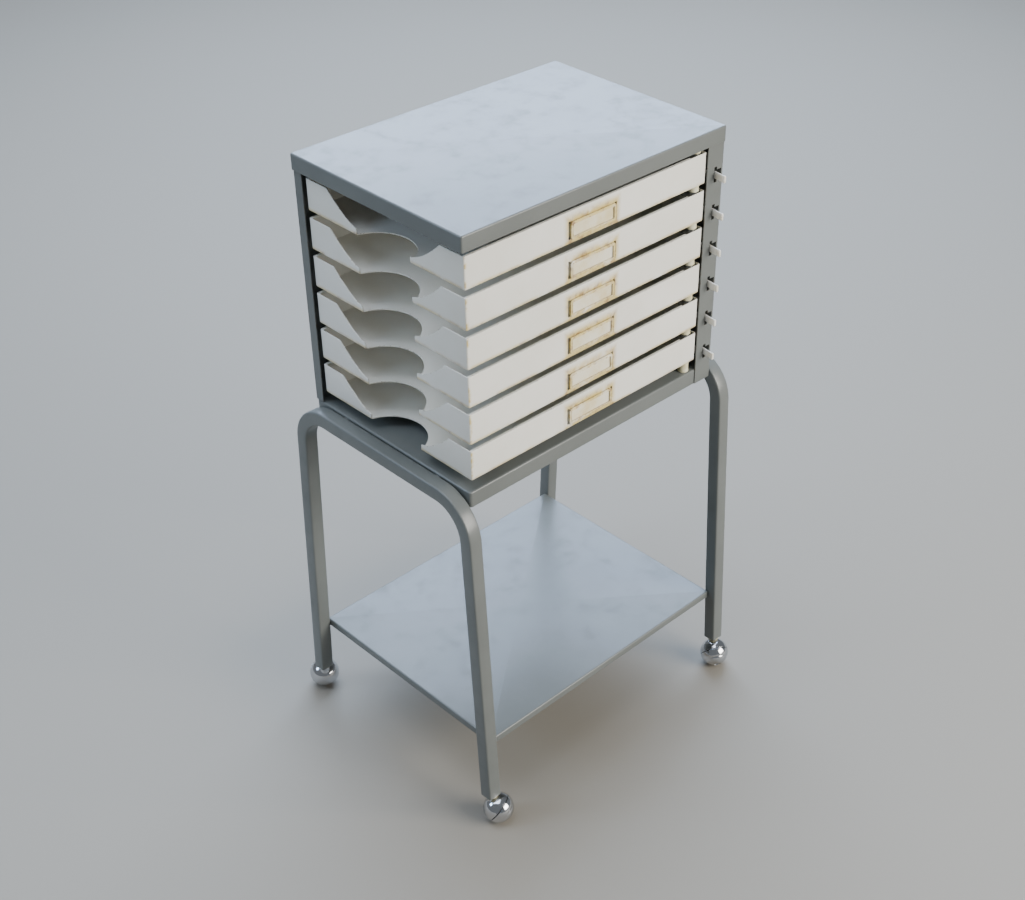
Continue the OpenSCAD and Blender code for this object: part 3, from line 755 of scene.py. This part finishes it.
def lathe(profile, segments, place):
    """Spins (radius, height) pairs round Z into a closed mesh and puts it in its place."""
    verts, faces, rows = [], [], []
    for radius, height in profile:
        if radius < ON_AXIS:
            rows.append([len(verts)] * segments)
            verts.append((0, 0, height))
        else:
            rows.append(list(range(len(verts), len(verts) + segments)))
            turns = [math.tau * k / segments for k in range(segments)]
            verts += [(radius * math.cos(turn), radius * math.sin(turn), height) for turn in turns]
    pairs = list(zip(rows, rows[1:]))
    if profile[0][0] > ON_AXIS:
        pairs.append((rows[-1], rows[0]))
    for below, above in pairs:
        for k in range(segments):
            face = [below[k], below[(k + 1) % segments], above[(k + 1) % segments], above[k]]
            face = list(dict.fromkeys(face))
            if len(face) > 2:
                faces.append(face)
    mesh = mesh_from(verts, faces, 38)
    mesh.transform(place)
    return mesh


def spacer_profile(height):
    """A bored cylinder with chamfered ends and a shallow waist."""
    wide, bore, edge = 7.0 * MM, 4.1 * MM, 0.8 * MM
    waist = wide - 0.35 * MM
    return [(bore, 0), (wide - edge, 0), (wide, edge), (waist, height * 0.35), (waist, height * 0.65),
            (wide, height - edge), (wide - edge, height), (bore, height)]


def spacer(below, above):
    return lathe(spacer_profile(above - below), 40, Matrix.Translation((ROD.x, ROD.y, below)))


base_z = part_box("base_pan")[1].z
spacer_parts = []
for number in TRAYS:
    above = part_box(f"tray_{number}")[0].z - SPACER_PLAY
    below = base_z if number == len(TRAYS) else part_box(f"tray_{number + 1}")[1].z + SPACER_PLAY
    spacer_parts.append(spacer(below, above))
spacer_parts.append(spacer(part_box("tray_1")[1].z + SPACER_PLAY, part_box("spacers")[1].z))
piece("nylon_spacers", joined(spacer_parts), old_nylon, "cabinet", ("spacers",))

# %% [markdown]
# ## Ball casters
# A ball caster is a ball split in two across a tilted axle: the lower half rolls, the upper half is
# a hood that swivels on its stem. Both halves are spun profiles with a rolled rim at the split.

# %% Casters
BALL = JOINTS["roll_front_left"]["pos_m"][2]
GROOVE_DEEP = 0.7 * MM
BOSS_LOW, BOSS_TOP = BALL + 11 * MM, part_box("caster_sockets")[0].z - 0.4 * MM


def dome(radius, flat, steps=18):
    """Half a ball's profile from its pole to its rim, which stays above the flat."""
    points = []
    for k in range(steps + 1):
        a = math.pi / 2 * (1 - k / steps)
        points.append((radius * math.cos(a), max(radius * math.sin(a), flat)))
    return points


def wheel_profile():
    """The rolling half: an axle cap at the pole, a shallow groove round the ball, and a rim."""
    groove = []
    for radius, height in dome(BALL, 0.5 * MM):
        reach = math.hypot(radius, height)
        dip = GROOVE_DEEP if 0.52 < height / BALL < 0.60 else 0.0
        groove.append((radius * (reach - dip) / reach, height * (reach - dip) / reach))
    cap = [(0, BALL - 1.6 * MM), (3.6 * MM, BALL - 1.8 * MM), (4.4 * MM, BALL - 2.4 * MM)]
    rim = [point for point in groove if point[0] > 5.2 * MM]
    return cap + rim + [(BALL - 1.2 * MM, 0.2 * MM), (0, 0.2 * MM)]


def hood_profile():
    """The hood: the other half ball with a rolled rim at the split."""
    outer = [(r, -h) for r, h in dome(BALL, 0.6 * MM)]
    return outer[:-2] + [(BALL - 0.3 * MM, -2.6 * MM), (BALL, -1.9 * MM), (BALL, -0.9 * MM),
                         (BALL - 0.8 * MM, -0.3 * MM), (0, -0.3 * MM)]


for corner in CORNERS:
    roll, swivel = JOINTS["roll_" + corner], JOINTS["swivel_" + corner]
    place = Matrix.Translation(roll["pos_m"]) @ Vector(roll["axis"]).to_track_quat("Z", "Y").to_matrix().to_4x4()
    piece("ball_wheel_" + corner, lathe(wheel_profile(), 56, place), cloudy_chrome, "wheel_" + corner,
          ("caster_wheel_" + corner,))
    stem_x, stem_y, _ = swivel["pos_m"]
    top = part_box("caster_hood_" + corner)[1].z
    stem = [(0, BOSS_LOW), (7 * MM, BOSS_LOW), (7 * MM, BOSS_TOP - 1.5 * MM), (6.2 * MM, BOSS_TOP - 0.5 * MM),
            (5 * MM, BOSS_TOP), (5 * MM, top - 1 * MM), (4 * MM, top), (0, top)]
    parts = [lathe(hood_profile(), 56, place), lathe(stem, 32, Matrix.Translation((stem_x, stem_y, 0)))]
    piece("ball_hood_" + corner, joined(parts, 38), cloudy_chrome, "swivel_" + corner,
          ("caster_hood_" + corner,))

# %% [markdown]
# ## Spot welds
# The case panels are spot-welded to the posts. Each weld is a shallow round dimple, about 5 mm across.
# Geometry Nodes place them along a line at an even pitch.

# %% Spot welds
WELD_RADIUS = 2.6 * MM
WELD_LOW, WELD_TOP = 20 * MM, 40 * MM


def weld_tree():
    """Geometry Nodes that put low discs along a line at an even pitch."""
    tree, inlet = shape_group("spot_welds", length="Float", weld_radius="Float", count="Int")
    tip = add(tree, "ShaderNodeCombineXYZ", {"Z": inlet["length"]})
    line = add(tree, "GeometryNodeCurvePrimitiveLine", {"End": tip.outputs[0]})
    spots = add(tree, "GeometryNodeCurveToPoints", {"Curve": line.outputs[0], "Count": inlet["count"]}, mode="COUNT")
    disc = add(tree, "GeometryNodeMeshCone", {"Vertices": 14, "Radius Top": 1.8 * MM,
               "Radius Bottom": inlet["weld_radius"], "Depth": 0.3 * MM})
    placed = add(tree, "GeometryNodeInstanceOnPoints", {"Points": spots.outputs[0], "Instance": disc.outputs[0]})
    return finish_group(tree, inlet, placed)


weld_group = weld_tree()


def weld_row(start, outward, length, count=7):
    """A row of welds, upright from start, on a face that looks outward."""
    holder = bpy.data.objects.new("welds", bpy.data.meshes.new("welds"))
    bpy.context.scene.collection.objects.link(holder)
    modifier = holder.modifiers.new("welds", "NODES")
    modifier.node_group = weld_group
    set_inputs(modifier, length=length, weld_radius=WELD_RADIUS, count=count, material=grey_enamel)
    mesh = evaluated(holder)
    up, out = Vector((0, 0, 1)), Vector(outward)
    pitch = length / (count - 1)
    for vert in mesh.vertices:
        x, y, z = vert.co
        step = round(z / pitch) * pitch
        vert.co = Vector(start) + up * (step + x) + up.cross(out) * y + out * (z - step)
    return mesh


back_low, back_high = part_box("back_panel")
side_low, side_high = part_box("side_panel")
back_run = back_high.z - back_low.z - WELD_LOW - WELD_TOP
side_run = side_high.z - side_low.z - WELD_LOW - WELD_TOP
rows = [weld_row((x, back_high.y, back_low.z + WELD_LOW), (0, 1, 0), back_run)
        for x in (back_low.x + 9 * MM, back_high.x - 9 * MM)]
rows += [weld_row((side_high.x, y, side_low.z + WELD_LOW), (1, 0, 0), side_run)
         for y in (side_low.y - 12 * MM, side_high.y - 8 * MM)]
piece("spot_welds", joined(rows), grey_enamel, "cabinet")

# %% [markdown]
# ## Finishes on the measured pieces
# The remaining pieces keep their measured shape, and each gets the finish of its material.

# %% Finishes
FINISHES = {"grey_paint": grey_enamel, "cream_paint": cream_enamel, "bright_steel": plated_steel,
            "cream_nylon": old_nylon, "white_plastic": white_plastic, "chrome": cloudy_chrome}
slot_of = {entry["node"]: entry["material_slot"] for entry in frame["record"]["subparts"]}
for node, thing in frame["nodes"].items():
    finish = FINISHES[slot_of[node]]
    for place in thing.material_slots:
        place.material = finish
    if not thing.material_slots:
        thing.data.materials.append(finish)
